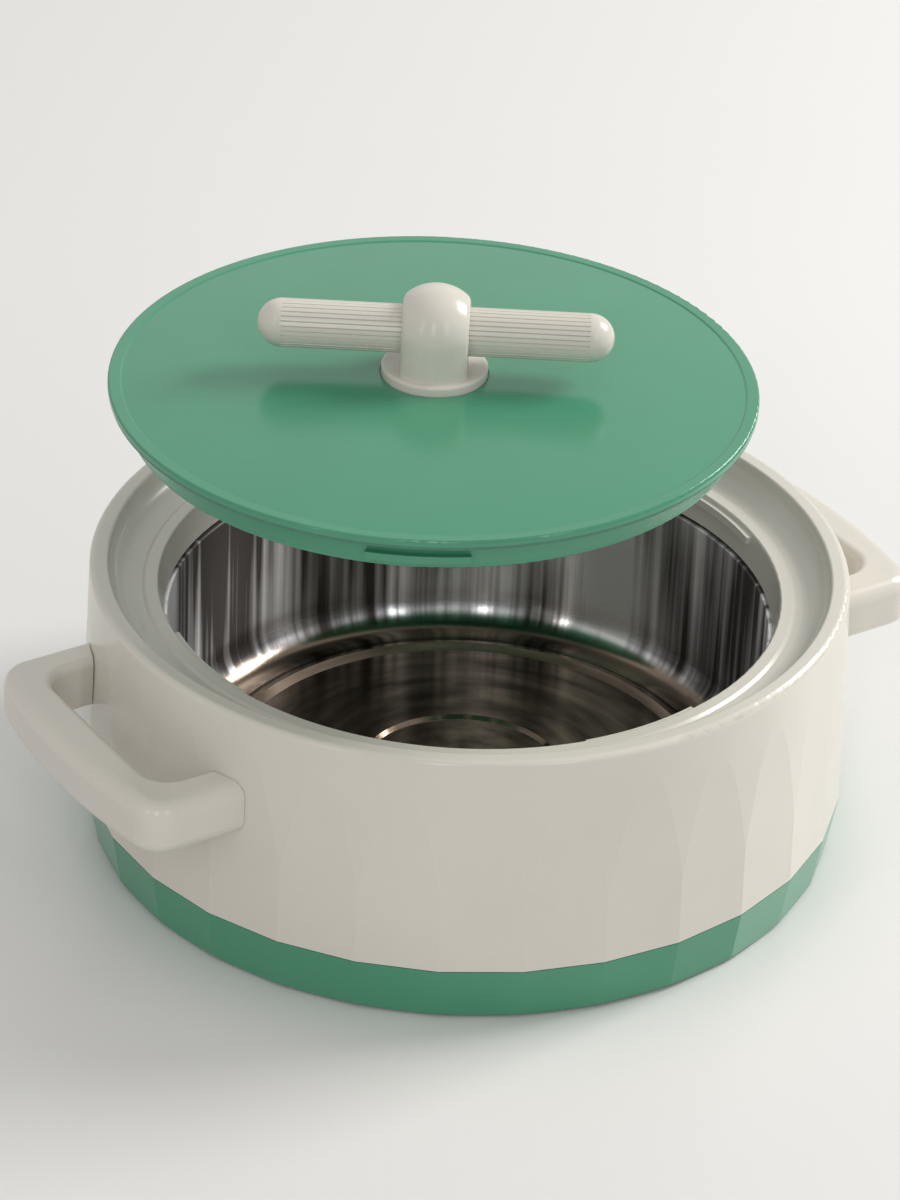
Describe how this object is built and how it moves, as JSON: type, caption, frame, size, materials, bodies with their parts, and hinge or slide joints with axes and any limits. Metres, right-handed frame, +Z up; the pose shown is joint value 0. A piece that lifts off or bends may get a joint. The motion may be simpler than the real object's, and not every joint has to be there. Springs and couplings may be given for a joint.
{
  "type": "insulated casserole",
  "caption": "Round foam-filled serving casserole with a steel bowl, bow handles and a lift-off lid that locks with a twist.",
  "frame": {"origin": "centre of the base on the surface that it stands on", "axes": "+Z up, +X through the right handle, +Y to the back with the handles at the sides"},
  "size_m": [0.321, 0.2656, 0.2028],
  "materials": {
    "cream_plastic": "glossy greyish cream moulded plastic, faintly pearly",
    "green_plastic": "glossy sea-green moulded plastic",
    "bowl_steel": "brushed wall and polished floor",
    "screw_steel": "zinc-plated",
    "gasket_rubber": "matte",
    "seal_silicone": "satin translucent",
    "foam": "foamed, hidden inside"
  },
  "bodies": {
    "casserole": {"outer_shell": "cream_plastic", "base_cover": "green_plastic", "inner_bowl": "bowl_steel", "bowl_gasket": "gasket_rubber", "body_foam": "foam", "handle_left": "cream_plastic", "handle_right": "cream_plastic", "handle_screws": "screw_steel", "base_screws": "screw_steel"},
    "seal": {"lid_seal": "seal_silicone"},
    "lid": {"lid_cover": "green_plastic", "lid_liner": "green_plastic", "lid_foam": "foam", "knob_post": "cream_plastic", "knob_bar": "cream_plastic", "knob_washer": "screw_steel", "knob_screw": "screw_steel"}
  },
  "joints": [
    {"name": "lid_lift", "type": "slide", "parent": "casserole", "child": "seal", "axis": [-0.1617, 0.1087, 0.9808], "range_m": [-0.07545, 0.04]},
    {"name": "lid_turn", "type": "hinge", "parent": "seal", "child": "lid", "pos_m": [-0.0122, 0.0082, 0.168], "axis": [0, 0, 1], "range_deg": [0, 35]}
  ]
}
